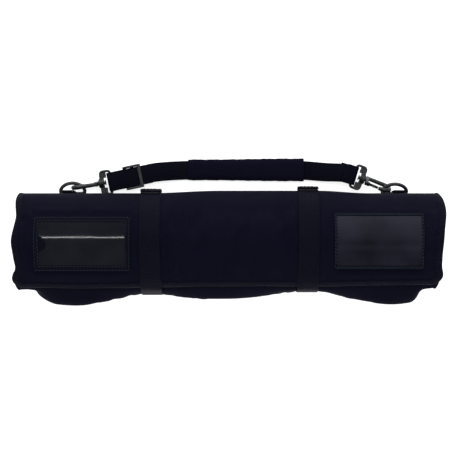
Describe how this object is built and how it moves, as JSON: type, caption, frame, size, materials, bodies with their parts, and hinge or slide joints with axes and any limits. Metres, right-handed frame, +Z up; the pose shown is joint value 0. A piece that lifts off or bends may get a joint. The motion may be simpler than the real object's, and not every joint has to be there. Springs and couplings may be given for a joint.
{
  "type": "roll-up equipment bag",
  "caption": "Padded fabric tool roll, rolled up and held by webbing straps, with card windows and a clip-on carry strap",
  "frame": {"origin": "middle of the roll's flat underside, on the table", "axes": "+X along the roll, +Y to the carry strap's side, +Z up"},
  "size_m": [0.52, 0.1787, 0.0684],
  "materials": {
    "shell_fabric": "woven black nylon, slight sheen",
    "lining": "plain black lining cloth",
    "foam": "grey closed-cell foam",
    "webbing": "ribbed black nylon webbing",
    "hook_and_loop": "black hook-and-loop tape",
    "sleeve_fabric": "black fabric over thin padding",
    "window_border": "black coated cloth border",
    "clear_vinyl": "clear glossy vinyl over black",
    "frosted_vinyl": "hazy vinyl over black",
    "hard_plastic": "moulded black acetal",
    "ring_plastic": "moulded black plastic, satin"
  },
  "bodies": {
    "bag": {"outer_shell": "shell_fabric", "foam_padding": "foam", "lining_panel": "lining", "pocket_panel": "lining", "end_binding_left": "webbing", "end_binding_right": "webbing", "free_edge_binding": "webbing", "compression_strap_left": "webbing", "closure_tape_left": "hook_and_loop", "strap_tail_left": "webbing", "window_backing_left": "window_border", "window_pane_left": "clear_vinyl", "window_frame_left": "window_border", "compression_strap_right": "webbing", "closure_tape_right": "hook_and_loop", "strap_tail_right": "webbing", "window_backing_right": "window_border", "window_pane_right": "frosted_vinyl", "window_frame_right": "window_border"},
    "carry_strap": {"ring_tab_left": "webbing", "ring_tab_right": "webbing", "swivel_bail_left": "hard_plastic", "swivel_bail_right": "hard_plastic", "carry_webbing": "webbing"},
    "ring_left": {"d_ring_left": "ring_plastic"},
    "ring_right": {"d_ring_right": "ring_plastic"},
    "hook_left": {"hook_body_left": "hard_plastic"},
    "hook_right": {"hook_body_right": "hard_plastic"},
    "gate_left": {"hook_gate_left": "hard_plastic"},
    "gate_right": {"hook_gate_right": "hard_plastic"},
    "slider": {"strap_slider": "hard_plastic"},
    "sleeve": {"grip_sleeve": "sleeve_fabric"}
  },
  "joints": [
    {"name": "strap_swing", "type": "hinge", "parent": "bag", "child": "carry_strap", "pos_m": [0, 0.0648, 0.027], "axis": [1, 0, 0], "range_deg": [0, 100]},
    {"name": "ring_tilt_left", "type": "hinge", "parent": "carry_strap", "child": "ring_left", "pos_m": [-0.1904, 0.0619, 0.01], "axis": [1, 0, 0], "range_deg": [-3, 3]},
    {"name": "hook_swivel_left", "type": "hinge", "parent": "carry_strap", "child": "hook_left", "pos_m": [-0.1622, 0.0735, 0.0102], "axis": [-0.9882, -0.153, 0.0035], "range_deg": [-8, 8]},
    {"name": "gate_left", "type": "hinge", "parent": "hook_left", "child": "gate_left", "pos_m": [-0.16383, 0.07406, 0.00325], "axis": [-0.1516, 0.9817, 0.1149], "range_deg": [0, 20], "stiffness_Nm_per_rad": 0.02},
    {"name": "ring_tilt_right", "type": "hinge", "parent": "carry_strap", "child": "ring_right", "pos_m": [0.2037, 0.0619, 0.01], "axis": [1, 0, 0], "range_deg": [-3, 3]},
    {"name": "hook_swivel_right", "type": "hinge", "parent": "carry_strap", "child": "hook_right", "pos_m": [0.1714, 0.0771, 0.0121], "axis": [0.9266, -0.3744, 0.0349], "range_deg": [-8, 8]},
    {"name": "gate_right", "type": "hinge", "parent": "hook_right", "child": "gate_right", "pos_m": [0.17127, 0.07334, 0.01819], "axis": [0.3071, 0.8071, 0.5042], "range_deg": [0, 20], "stiffness_Nm_per_rad": 0.02},
    {"name": "slider_travel", "type": "slide", "parent": "carry_strap", "child": "slider", "axis": [0.9781, 0.2079, 0], "range_m": [-0.006, 0.006]},
    {"name": "sleeve_travel", "type": "slide", "parent": "carry_strap", "child": "sleeve", "axis": [1, 0, 0], "range_m": [-0.003, 0.003]}
  ]
}
